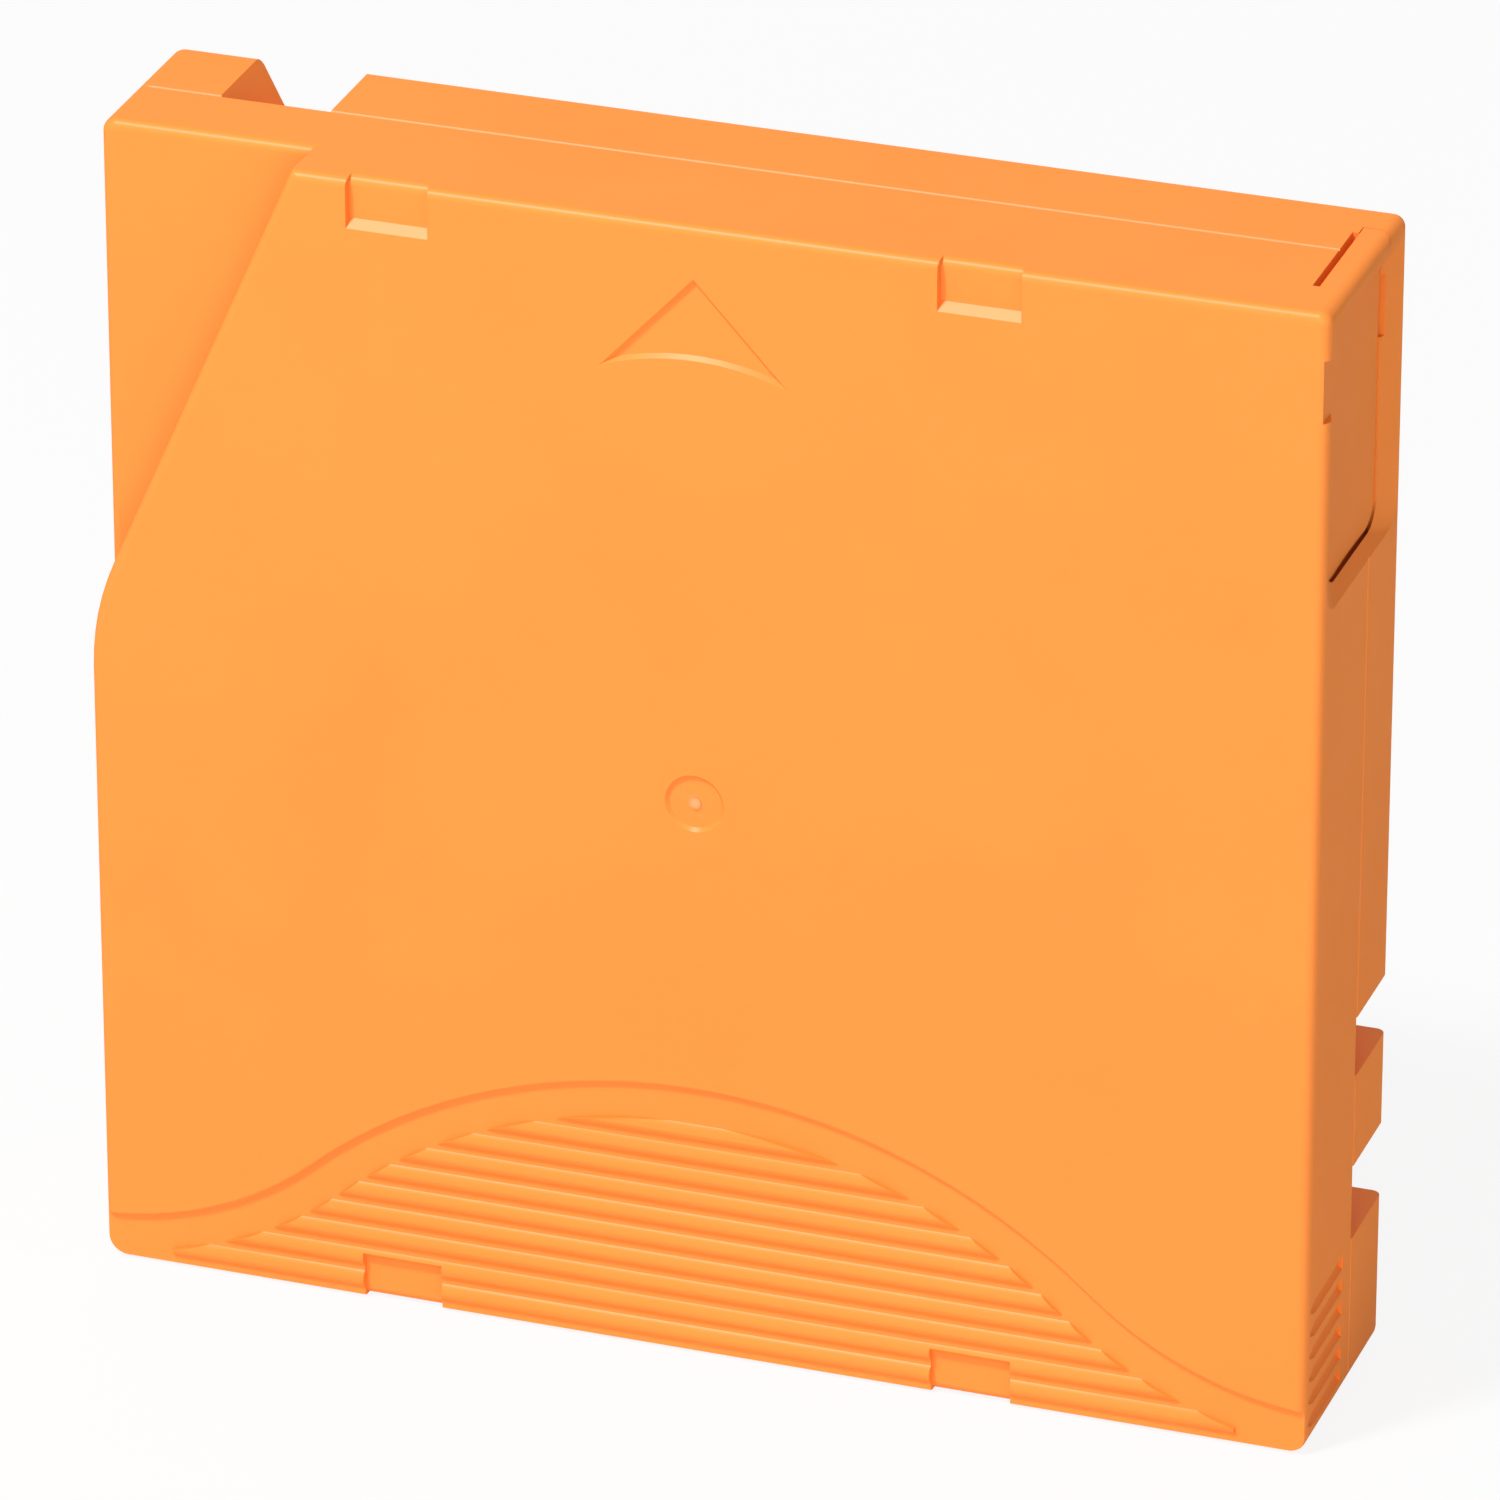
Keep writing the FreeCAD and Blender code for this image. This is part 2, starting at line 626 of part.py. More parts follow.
def side_frame(x, rear, front, low, high, radius):
    """A wire on the plane X = x, with its two rear corners rounded."""
    flat = outline([(rear, low, radius), (front, low, 0), (front, high, 0), (rear, high, radius)])
    flat.rotate(point(0, 0), point(1, 1, 1), 120)
    flat.translate(point(x, 0, 0))
    return flat


def door_track():
    """The room for the door panel behind the side wall, and the tape window flared to the outside."""
    inner = HALF_WIDTH - TRACK_WALL
    track = block(inner - SIDE_WALL, inner, TRACK_REAR, FRONT_INNER, WINDOW_LOW, WINDOW_HIGH)
    scale = (TRACK_WALL + OVERLAP) / TRACK_WALL
    mouth = [
        side_frame(inner - OVERLAP, WINDOW_REAR, FRONT_INNER, WINDOW_LOW, WINDOW_HIGH, WINDOW_CORNER),
        side_frame(inner, WINDOW_REAR, FRONT_INNER, WINDOW_LOW, WINDOW_HIGH, WINDOW_CORNER),
        side_frame(
            HALF_WIDTH + OVERLAP,
            WINDOW_REAR - WINDOW_REAR_BEVEL * scale,
            FRONT_INNER,
            WINDOW_LOW - WINDOW_LIP_SLOPE * scale,
            WINDOW_HIGH + WINDOW_LIP_SLOPE * scale,
            WINDOW_CORNER,
        ),
    ]
    return [track, Part.makeLoft(mouth, True, True)]


def pin_seat(surface, rise):
    """Pad for the leader pin with a quarter wall behind it: on the floor (rise 1) or the ceiling (-1)."""
    inner = PIN_DISC_RADIUS + PIN_SOCKET_GAP
    outer = inner + PIN_WALL
    root = surface - OVERLAP * rise
    low, high = sorted((root, surface + PIN_SEAT_HEIGHT * rise))
    pad = post(PIN_X, PIN_Y, PIN_DISC_RADIUS, low, high)
    low, high = sorted((root, surface + PIN_WALL_HEIGHT * rise))
    quarter = block(PIN_X - outer, PIN_X, PIN_Y - outer, PIN_Y, low, high)
    return [pad, ring(PIN_X, PIN_Y, inner, outer, low, high).common(quarter)]


def pin_exit(z0, z1):
    """The way out for one end of the leader pin, through the side wall."""
    radius = PIN_DISC_RADIUS + PIN_SOCKET_GAP
    return block(PIN_X, HALF_WIDTH + OVERLAP, PIN_Y - radius, PIN_Y + radius, z0, z1)


def edge_notch():
    radius = PIN_DISC_RADIUS + PIN_SOCKET_GAP
    x0 = HALF_WIDTH - PIN_EDGE_NOTCH
    return block(x0, HALF_WIDTH + OVERLAP, PIN_Y - radius, PIN_Y + radius, -OVERLAP, CASE_HEIGHT + OVERLAP)


def tongue(gap):
    """End strip of the front wall beside the opener slot, which reaches past the parting plane."""
    x0 = HALF_WIDTH - SLOT_FROM_SIDE - gap
    low = TONGUE_END - gap
    face = outline([
        (x0, low, 0),
        (HALF_WIDTH, low, TONGUE_ROUND),
        (HALF_WIDTH, PARTING_HEIGHT + OVERLAP, 0),
        (x0, PARTING_HEIGHT + OVERLAP, 0),
    ])
    face.rotate(point(0, 0), point(1, 0, 0), 90)
    face.translate(point(0, CASE_LENGTH))
    strip = Part.Face(face).extrude(point(0, -SIDE_WALL - gap, 0))
    return strip.common(slab(case_corners(), 0, CASE_HEIGHT))


def opener_slot():
    x1 = HALF_WIDTH - SLOT_FROM_SIDE
    middle = (TAPE_LOW + TAPE_HIGH) / 2
    low = middle - SLOT_LENGTH / 2
    return block(x1 - SLOT_WIDTH, x1, FRONT_INNER - OVERLAP, CASE_LENGTH + OVERLAP, low, low + SLOT_LENGTH)


def slide_window():
    """Rear-wall window of the write-protect slide, up to the parting plane."""
    x0 = SLIDE_X - SLIDE_BUTTON_WIDTH / 2 - RUN_GAP
    x1 = SLIDE_X + SLIDE_BUTTON_WIDTH / 2 + SLIDE_TRAVEL + RUN_GAP
    return block(x0, x1, -OVERLAP, SIDE_WALL + OVERLAP, SLIDE_LOW - RUN_GAP, PARTING_HEIGHT + OVERLAP)


def label_recess():
    low = LABEL_MARGIN
    high = CASE_HEIGHT - LABEL_MARGIN
    face = outline([
        (LABEL_LEFT, low, LABEL_ROUND),
        (LABEL_RIGHT, low, LABEL_ROUND),
        (LABEL_RIGHT, high, LABEL_ROUND),
        (LABEL_LEFT, high, LABEL_ROUND),
    ])
    face.rotate(point(0, 0), point(1, 0, 0), 90)
    face.translate(point(0, LABEL_DEPTH))
    return Part.Face(face).extrude(point(0, -LABEL_DEPTH - OVERLAP, 0))


def reel_walls(z0, z1):
    """Arcs of wall around the reel in three corners of the case."""
    inner = FLANGE_RADIUS + REEL_WALL_GAP
    outer = inner + REEL_WALL
    arcs = []
    for first, last in REEL_WALL_SPANS:
        wall = Part.makeCylinder(outer, z1 - z0, point(0, REEL_Y, z0), point(0, 0, 1), last - first)
        wall = wall.cut(post(0, REEL_Y, inner, z0, z1))
        arcs.append(spin(wall, 0, REEL_Y, first))
    return arcs


def door_guide(z0, z1):
    rear = TRACK_REAR
    front = PIN_Y - PIN_DISC_RADIUS - PIN_SOCKET_GAP - RUN_GAP
    return block(GUIDE_RIB_X - DOOR_GUIDE, GUIDE_RIB_X, rear, front, z0, z1)


def seam_lip(gap):
    """The lip on the lower shell, or with a gap the rebate for it in the upper shell."""
    low = PARTING_HEIGHT - OVERLAP
    high = PARTING_HEIGHT + LIP_HEIGHT + gap
    outer = slab(inset(case_corners(), SIDE_WALL - LIP_THICKNESS - gap), low, high)
    inner = slab(inset(case_corners(), SIDE_WALL), low, high)
    return outer.cut([inner] + lip_breaks(FIT_GAP - gap, low, high))


def lip_breaks(spread, z0, z1):
    """Places where the lip stops: the notches, the door's track, the front strip and the rear slide."""
    door_x = HALF_WIDTH - 2 * SIDE_WALL - spread
    door_side = block(door_x, HALF_WIDTH, TRACK_REAR - FIT_GAP - spread, CASE_LENGTH, z0, z1)
    window = slide_window().BoundBox
    margin = SLIDE_PLATE_MARGIN + spread
    rear = block(window.XMin - margin, window.XMax + margin, 0, 2 * SIDE_WALL, z0, z1)
    return notch_group(NOTCH_WALL + spread, z0, z1) + [door_side, rear]


def screw_posts(z0, z1, radius):
    return [post(x, y, radius, z0, z1) for x, y in SCREW_PLACES]


def brake_key(gap, z0, z1):
    """Cross-shaped key that stops the brake button from turning."""
    half = BRAKE_KEY_SPAN / 2 + gap
    thick = BRAKE_KEY_THICKNESS / 2 + gap
    bar = block(-half, half, REEL_Y - thick, REEL_Y + thick, z0, z1)
    return bar.fuse(spin(bar, 0, REEL_Y, 90))


def spring_seat():
    """Rib on the right wall that the door's spring pushes against."""
    x0 = DOOR_SPRING_X - DOOR_SPRING_RADIUS - DOOR_SPRING_WIRE / 2
    x1 = HALF_WIDTH - SIDE_WALL + OVERLAP
    y0 = SPRING_SEAT_Y - SPRING_SEAT
    return block(x0, x1, y0, SPRING_SEAT_Y, PARTING_HEIGHT, CEILING + OVERLAP)


def upper_shell():
    outside = upper_outside()
    cavity = slab(inset(case_corners(), SIDE_WALL), PARTING_HEIGHT - OVERLAP, GUIDE_CEILING)
    cavity = cavity.fuse(slab(inset(face_corners(), SIDE_WALL), PARTING_HEIGHT - OVERLAP, CEILING))
    shell = outside.cut(cavity)
    roofs = notch_group(NOTCH_WALL, PARTING_HEIGHT, PARTING_HEIGHT + NOTCH_WALL)
    bosses = screw_posts(PARTING_HEIGHT, CEILING + OVERLAP, SCREW_RADIUS + BOSS_WALL)
    key = brake_key(0, BRAKE_TOP + BRAKE_TRAVEL + RUN_GAP, CEILING + OVERLAP)
    walls = reel_walls(CEILING - REEL_WALL_HEIGHT, CEILING + OVERLAP)
    guide = door_guide(CEILING - DOOR_GUIDE_HEIGHT, CEILING + OVERLAP)
    inside = roofs + bosses + walls + [key, guide, spring_seat()] + pin_seat(CEILING, -1)
    inside = join(inside).common(outside)
    shell = shell.fuse(inside).fuse(tongue(0))
    cuts = [grip_step(), arrow(), gate_mark(), opener_slot(), edge_notch(), label_recess()]
    cuts += [seam_lip(FIT_GAP)] + door_track()
    cuts += screw_posts(PARTING_HEIGHT - OVERLAP, SCREW_TOP + FIT_GAP, SCREW_RADIUS + PILOT_GAP)
    cuts += [pin_exit(WINDOW_HIGH, CEILING - PIN_SEAT_HEIGHT)]
    grooves = side_grooves()
    cuts += grooves + [mirrored(item) for item in grooves]
    shell = shell.cut(cuts)
    shell = shell.fuse(ridges())
    pockets = [pocket(x, front) for x in (-POCKET_LEFT, POCKET_RIGHT) for front in (True, False)]
    return shell.cut(pockets)


def lower_shell():
    cavity = slab(inset(case_corners(), SIDE_WALL), FLOOR, PARTING_HEIGHT + OVERLAP)
    shell = lower_outside().cut(cavity)
    head_bore = SCREW_HEAD_RADIUS + RUN_GAP
    inside = notch_group(NOTCH_WALL, 0, PARTING_HEIGHT)
    inside += screw_posts(0, PARTING_HEIGHT, head_bore + NOTCH_WALL / 2)
    roof = LOCATING_DEPTH + LOCATING_ROOF
    inside += [locating_hole(side, LOCATING_ROOF, 0, roof) for side in (-1, 1)]
    inside += reel_walls(FLOOR - OVERLAP, FLOOR + REEL_WALL_HEIGHT)
    inside += [post(0, REEL_Y, HUB_WINDOW_RADIUS + SEAT_WIDTH, 0, REEL_BOTTOM - REST_GAP)]
    inside += [door_guide(FLOOR - OVERLAP, FLOOR + DOOR_GUIDE_HEIGHT)]
    inside += slide_guides() + chip_ribs() + pin_seat(FLOOR, 1)
    shell = shell.fuse([item.common(lower_outside()) for item in inside])
    shell = shell.fuse(seam_lip(0))
    cuts = notch_group(0, -OVERLAP, PARTING_HEIGHT + OVERLAP)
    cuts += screw_posts(-OVERLAP, SCREW_SEAT, head_bore)
    cuts += screw_posts(-OVERLAP, PARTING_HEIGHT + OVERLAP, SCREW_RADIUS + FIT_GAP)
    cuts += [locating_hole(side, 0, -OVERLAP, LOCATING_DEPTH) for side in (-1, 1)]
    cuts += [post(0, REEL_Y, HUB_WINDOW_RADIUS, -OVERLAP, CASE_HEIGHT)]
    cuts += [pin_exit(FLOOR + PIN_SEAT_HEIGHT, WINDOW_LOW + FIT_GAP)]
    cuts += [tongue(FIT_GAP), opener_slot(), slide_window(), label_recess()]
    cuts += door_track()
    return shell.cut(cuts)


def locating_hole(side, spread, z0, z1):
    """Round hole on the right, oblong hole on the left."""
    radius = LOCATING_RADIUS + spread
    x = side * LOCATING_X
    hole = post(x, LOCATING_Y, radius, z0, z1)
    if side > 0:
        return hole
    half = LOCATING_STRETCH / 2
    ends = [post(x + shift, LOCATING_Y, radius, z0, z1) for shift in (-half, half)]
    middle = block(x - half, x + half, LOCATING_Y - radius, LOCATING_Y + radius, z0, z1)
    return join(ends + [middle])


def slide_plate_box(extra):
    """Rear and front faces and the ends of the slide's plate, with extra length at both ends."""
    rear = SIDE_WALL + RUN_GAP
    reach = SLIDE_BUTTON_WIDTH / 2 + SLIDE_PLATE_MARGIN + extra
    return SLIDE_X - reach, SLIDE_X + reach, rear, rear + SLIDE_PLATE


def slide_guides():
    """Rib on the floor that keeps the write-protect slide against the rear wall."""
    x0, x1, rear, front = slide_plate_box(FIT_GAP)
    y0 = front + RUN_GAP
    return [block(x0, x1 + SLIDE_TRAVEL, y0, y0 + SLIDE_PLATE, FLOOR - OVERLAP, SLIDE_HIGH)]


def chip_ribs():
    """Two corner ribs that carry the chip at 45 degrees between the rear wall and the floor."""
    ribs = []
    rear = SIDE_WALL
    triangle = [(rear, FLOOR), (rear + CHIP_RIB_REACH, FLOOR), (rear, FLOOR + CHIP_RIB_REACH), (rear, FLOOR)]
    for x in (CHIP_X - CHIP_RIB_SPREAD, CHIP_X + CHIP_RIB_SPREAD):
        face = Part.Face(Part.makePolygon([point(x - CHIP_RIB / 2, y, z) for y, z in triangle]))
        ribs.append(face.extrude(point(CHIP_RIB, 0, 0)))
    return ribs


def memory_chip():
    plate = block(-CHIP_LENGTH / 2, CHIP_LENGTH / 2, -CHIP_WIDTH / 2, CHIP_WIDTH / 2, 0, CHIP_THICKNESS)
    plate.rotate(point(0, 0), point(1, 0, 0), -CHIP_TILT)
    plate.translate(point(CHIP_X, SIDE_WALL + CHIP_RIB_REACH / 2, FLOOR + CHIP_RIB_REACH / 2))
    return plate


def write_protect_slide():
    x0, x1, rear, front = slide_plate_box(0)
    half = SLIDE_BUTTON_WIDTH / 2
    plate = block(x0, x1, rear, front, FLOOR + RUN_GAP, SLIDE_HIGH)
    button = block(SLIDE_X - half, SLIDE_X + half, SLIDE_SINK, rear, SLIDE_LOW, SLIDE_HIGH)
    size = SLIDE_RIB_HEIGHT
    ribs = []
    for x in (SLIDE_X - half / 2, SLIDE_X, SLIDE_X + half / 2):
        rib = block(x - size, x + size, SLIDE_SINK - size, SLIDE_SINK, SLIDE_LOW + size, SLIDE_HIGH - size)
        ribs.append(rib)
    return join([plate, button] + ribs)


def case_screws():
    screws = []
    for x, y in SCREW_PLACES:
        shank = post(x, y, SCREW_RADIUS, SCREW_SEAT, SCREW_TOP)
        head = post(x, y, SCREW_HEAD_RADIUS, SCREW_HEAD_SINK, SCREW_SEAT)
        arm = SCREW_CROSS_SPAN / 2
        half = SCREW_CROSS_WIDTH / 2
        deep = SCREW_HEAD_SINK + SCREW_CROSS_DEPTH
        slot = block(x - arm, x + arm, y - half, y + half, 0, deep)
        screws.append(head.fuse(shank).cut([slot, spin(slot, x, y, 90)]).removeSplitter())
    return Part.makeCompound(screws)


def reel_hub():
    barrel = post(0, REEL_Y, HUB_RADIUS, REEL_BOTTOM, FLANGE_SEAT)
    flange = post(0, REEL_Y, FLANGE_RADIUS, REEL_BOTTOM, REEL_BOTTOM + FLANGE_THICKNESS)
    spigot = post(0, REEL_Y, HUB_SPIGOT, HUB_UNDERSIDE, REEL_BOTTOM)
    hub = join([barrel, flange, spigot])
    hub = hub.cut(post(0, REEL_Y, HUB_BORE, HUB_FLOOR, FLANGE_SEAT + OVERLAP))
    pedestal = ring(0, REEL_Y, BRAKE_INNER, BRAKE_RADIUS, HUB_FLOOR - OVERLAP, BRAKE_ROOT)
    half = RELEASE_ARM_WIDTH / 2 + HUB_WINDOW_GAP
    gate = block(0, HUB_BORE, REEL_Y - half, REEL_Y + half, HUB_FLOOR, BRAKE_ROOT + OVERLAP)
    pedestal = pedestal.cut([spin(gate, 0, REEL_Y, angle) for angle in leg_angles()])
    brake_pitch = 2 * math.pi * BRAKE_INNER / BRAKE_TEETH
    clear = math.degrees(math.asin((half + brake_pitch * TOOTH_BASE) / BRAKE_INNER))

    def away_from_legs(angle):
        return all(abs((angle - leg + 180) % 360 - 180) > clear for leg in leg_angles())

    brake_teeth = tooth_ring(
        BRAKE_INNER, BRAKE_RADIUS, BRAKE_TEETH, BRAKE_ROOT, BRAKE_TOOTH_HEIGHT, keep=away_from_legs
    )
    drive_teeth = tooth_ring(DRIVE_INNER, HUB_SPIGOT, DRIVE_TEETH, HUB_UNDERSIDE, -DRIVE_TOOTH_HEIGHT)
    hub = join([hub, pedestal] + brake_teeth + drive_teeth)
    holes = []
    for angle in leg_angles():
        x, y = on_reel(LEG_CIRCLE, angle)
        holes.append(post(x, y, RELEASE_LEG_RADIUS + RUN_GAP, 0, HUB_FLOOR + OVERLAP))
    return hub.cut(holes)


def upper_flange():
    return ring(0, REEL_Y, HUB_BORE, FLANGE_RADIUS, FLANGE_SEAT, FLANGE_SEAT + FLANGE_THICKNESS)


def clutch_plate():
    low = HUB_UNDERSIDE - CLUTCH_THICKNESS
    return ring(0, REEL_Y, CLUTCH_HOLE_RADIUS, DRIVE_INNER - RUN_GAP, low, HUB_UNDERSIDE)


def tape_pack():
    return ring(0, REEL_Y, HUB_RADIUS + PILOT_GAP, PACK_RADIUS, TAPE_LOW, TAPE_HIGH)


def leader_line():
    """Tangent from the pack to the pin: where the tape leaves the pack, and the unit direction to the pin."""
    distance = math.hypot(PIN_X, PIN_Y - REEL_Y)
    toward = math.atan2(PIN_Y - REEL_Y, PIN_X)
    radius = PACK_RADIUS + RUN_GAP + TAPE_THICKNESS / 2
    angle = toward + math.acos(radius / distance)
    start = (radius * math.cos(angle), REEL_Y + radius * math.sin(angle))
    length = math.hypot(PIN_X - start[0], PIN_Y - start[1])
    return start, ((PIN_X - start[0]) / length, (PIN_Y - start[1]) / length)


def leader_tape():
    start, direction = leader_line()
    stop = PIN_WAIST_RADIUS + REST_GAP
    end = (PIN_X - direction[0] * stop, PIN_Y - direction[1] * stop)
    return bent_strip([start, end], TAPE_THICKNESS, TAPE_LOW, TAPE_HIGH)


def leader_pin():
    waist = post(PIN_X, PIN_Y, PIN_WAIST_RADIUS, PIN_LOW, PIN_HIGH)
    low_disc = post(PIN_X, PIN_Y, PIN_DISC_RADIUS, PIN_LOW, PIN_LOW + PIN_DISC_HEIGHT)
    high_disc = post(PIN_X, PIN_Y, PIN_DISC_RADIUS, PIN_HIGH - PIN_DISC_HEIGHT, PIN_HIGH)
    return join([waist, low_disc, high_disc])


def leader_clip():
    inner = PIN_WAIST_RADIUS + REST_GAP
    clip = ring(PIN_X, PIN_Y, inner, inner + CLIP_WALL, TAPE_LOW, TAPE_HIGH)
    start, direction = leader_line()
    slot = block(-PIN_DISC_RADIUS, 0, -CLIP_SLOT / 2, CLIP_SLOT / 2, TAPE_LOW, TAPE_HIGH)
    slot.rotate(point(0, 0), point(0, 0, 1), math.degrees(math.atan2(direction[1], direction[0])))
    slot.translate(point(PIN_X, PIN_Y))
    return clip.cut(slot)


def pin_retainer():
    """Leaf spring on the front wall with two arms that hold the pin's discs."""
    half = RETAINER_SHEET / 2
    reach = PIN_DISC_RADIUS + FIT_GAP + half
    wall_y = FRONT_INNER - REST_GAP - half
    foot_x = PIN_X - 2 * PIN_DISC_RADIUS
    hook = math.radians(RETAINER_HOOK)
    hook_point = (PIN_X + reach * math.sin(hook), PIN_Y + reach * math.cos(hook))
    bend = (PIN_X + reach * math.tan(hook / 2), PIN_Y + reach)
    arm = [(foot_x, wall_y), (PIN_X - PIN_DISC_RADIUS, PIN_Y + reach), bend, hook_point]
    low = PIN_LOW + RUN_GAP
    high = PIN_HIGH - RUN_GAP
    starts = (low, high - RETAINER_HEIGHT)
    arms = [bent_strip(arm, RETAINER_SHEET, z, z + RETAINER_HEIGHT) for z in starts]
    back = block(foot_x - PIN_DISC_RADIUS, foot_x, wall_y - half, wall_y + half, low, high)
    return join(arms + [back, post(foot_x, wall_y, half, low, high)])


def door():
    middle = (WINDOW_LOW + WINDOW_HIGH) / 2
    plate = block(DOOR_INNER_X, PLATE_X, DOOR_REAR, DOOR_FRONT, DOOR_LOW, DOOR_HIGH)
    frame = side_frame(PLATE_X - DOOR_PLATE / 2, WINDOW_REAR + RUN_GAP, DOOR_FRONT,
                       WINDOW_LOW + RUN_GAP, WINDOW_HIGH - RUN_GAP, WINDOW_CORNER)
    panel = Part.Face(frame).extrude(point(PANEL_X - PLATE_X + DOOR_PLATE / 2, 0, 0))
    half = (WINDOW_HIGH - WINDOW_LOW) / 2
    dish_radius = (half ** 2 + DOOR_DISH ** 2) / (2 * DOOR_DISH)
    dish_axis = point(PANEL_X - DOOR_DISH + dish_radius, 0, middle)
    dish = Part.makeCylinder(dish_radius, CASE_LENGTH, dish_axis, point(0, 1, 0))
    spring_room = DOOR_SPRING_RADIUS + DOOR_SPRING_WIRE / 2
    tab = block(DOOR_SPRING_X - spring_room, PLATE_X, DOOR_REAR, DOOR_REAR + DOOR_TAB,
                DOOR_SPRING_Z - spring_room, DOOR_SPRING_Z + spring_room)
    opener = block(DOOR_INNER_X - DOOR_GUIDE, PLATE_X, DOOR_FRONT - DOOR_TAB, DOOR_FRONT,
                   middle - SLOT_LENGTH / 2, middle + SLOT_LENGTH / 2)
    return join([plate, panel.cut(dish), tab, opener])


def door_spring():
    length = DOOR_REAR - SPRING_SEAT_Y - 2 * REST_GAP
    spring = coil(DOOR_SPRING_RADIUS, DOOR_SPRING_WIRE, length, DOOR_SPRING_TURNS)
    spring.rotate(point(0, 0), point(1, 0, 0), -90)
    spring.translate(point(DOOR_SPRING_X, SPRING_SEAT_Y + REST_GAP, DOOR_SPRING_Z))
    return spring


def brake_button():
    disc = post(0, REEL_Y, BRAKE_RADIUS, BRAKE_UNDERSIDE, BRAKE_TOP)
    nub = post(0, REEL_Y, BRAKE_NUB_RADIUS, RELEASE_HIGH + REST_GAP, BRAKE_UNDERSIDE)
    boss = post(0, REEL_Y, BRAKE_BOSS_RADIUS, BRAKE_TOP, BRAKE_BOSS_TOP)
    boss = boss.cut(brake_key(RUN_GAP, BRAKE_TOP, BRAKE_BOSS_TOP))
    half_pitch = 180.0 / BRAKE_TEETH
    teeth = tooth_ring(
        BRAKE_INNER, BRAKE_RADIUS, BRAKE_TEETH, BRAKE_UNDERSIDE, -BRAKE_TOOTH_HEIGHT, half_pitch
    )
    return join([disc, nub, boss] + teeth)


def brake_spring():
    radius = BRAKE_BOSS_RADIUS + BRAKE_SPRING_GAP + BRAKE_SPRING_WIRE / 2
    spring = coil(radius, BRAKE_SPRING_WIRE, CEILING - BRAKE_TOP - 2 * REST_GAP, BRAKE_SPRING_TURNS)
    spring.translate(point(0, REEL_Y, BRAKE_TOP + REST_GAP))
    return spring


def release_plate():
    pieces = [post(0, REEL_Y, RELEASE_DISC_RADIUS, RELEASE_LOW, RELEASE_HIGH)]
    half = RELEASE_ARM_WIDTH / 2
    arm = block(0, LEG_CIRCLE, REEL_Y - half, REEL_Y + half, RELEASE_LOW, RELEASE_HIGH)
    for angle in leg_angles():
        x, y = on_reel(LEG_CIRCLE, angle)
        pieces.append(spin(arm, 0, REEL_Y, angle))
        pieces.append(post(x, y, half, RELEASE_LOW, RELEASE_HIGH))
        pieces.append(post(x, y, RELEASE_LEG_RADIUS, HUB_UNDERSIDE - RELEASE_REACH, RELEASE_LOW))
    return join(pieces)


PIECES = {
    "upper_shell": upper_shell,
    "lower_shell": lower_shell,
    "door": door,
    "door_spring": door_spring,
    "reel_hub": reel_hub,
    "upper_flange": upper_flange,
    "clutch_plate": clutch_plate,
    "tape_pack": tape_pack,
    "leader_tape": leader_tape,
    "leader_pin": leader_pin,
    "leader_clip": leader_clip,
    "pin_retainer": pin_retainer,
    "brake_button": brake_button,
    "brake_spring": brake_spring,
    "release_plate": release_plate,
    "write_protect_slide": write_protect_slide,
    "memory_chip": memory_chip,
    "case_screws": case_screws,
}


def stood_up(shape):
    """Turn a piece from lying flat to standing on the rear edge, upper face to the front of the frame."""
    standing = shape.copy()
    standing.rotate(point(0, 0), point(1, 0, 0), 90)
    standing.translate(point(0, CASE_HEIGHT / 2))
    return standing


os.makedirs("parts", exist_ok=True)
for name, make in PIECES.items():
    piece = stood_up(make())
    piece.exportStep("parts/" + name + ".step")
    print(name, len(piece.Solids), round(piece.Volume, 1), piece.isValid())
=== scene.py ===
import math
import bpy
from mathutils import Matrix, Vector


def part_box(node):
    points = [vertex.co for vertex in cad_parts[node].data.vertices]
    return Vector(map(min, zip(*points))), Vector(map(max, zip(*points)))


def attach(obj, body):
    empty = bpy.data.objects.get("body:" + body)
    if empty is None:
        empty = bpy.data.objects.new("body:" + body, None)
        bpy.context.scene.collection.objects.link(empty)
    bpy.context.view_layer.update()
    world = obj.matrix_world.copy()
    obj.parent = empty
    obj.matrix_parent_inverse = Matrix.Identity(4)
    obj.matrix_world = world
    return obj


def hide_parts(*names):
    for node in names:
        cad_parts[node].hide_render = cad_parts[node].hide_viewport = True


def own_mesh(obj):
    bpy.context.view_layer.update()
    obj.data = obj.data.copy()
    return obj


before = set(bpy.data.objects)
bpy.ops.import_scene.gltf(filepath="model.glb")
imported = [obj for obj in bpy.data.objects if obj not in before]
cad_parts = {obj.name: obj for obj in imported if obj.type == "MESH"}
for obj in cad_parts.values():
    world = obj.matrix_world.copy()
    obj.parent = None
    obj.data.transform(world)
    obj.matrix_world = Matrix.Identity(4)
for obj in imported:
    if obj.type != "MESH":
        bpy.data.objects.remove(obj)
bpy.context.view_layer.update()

# Camera: places in metres, lens and sensor in millimetres
CAMERA_PLACE = (0.28206, -0.80843, 0.47032)
CAMERA_AIM = (0.00095, 0.00029, 0.05093)
CAMERA_LENS = 279.12
SENSOR_WIDTH = 36.0

# Lights: places and sizes in metres, powers in watts
WORLD_LIGHT = 0.32
KEY_PLACE = (-0.35, -0.53, 1.07)
KEY_POWER = 12.0
KEY_SIZE = 0.16
FRONT_PLACE = (0.35, -1.10, 0.36)
FRONT_POWER = 6.2
FRONT_SIZE = 0.8
BACK_PLACE = (-0.2, 1.1, 0.14)
BACK_POWER = 3.2
BACK_SIZE = 0.8

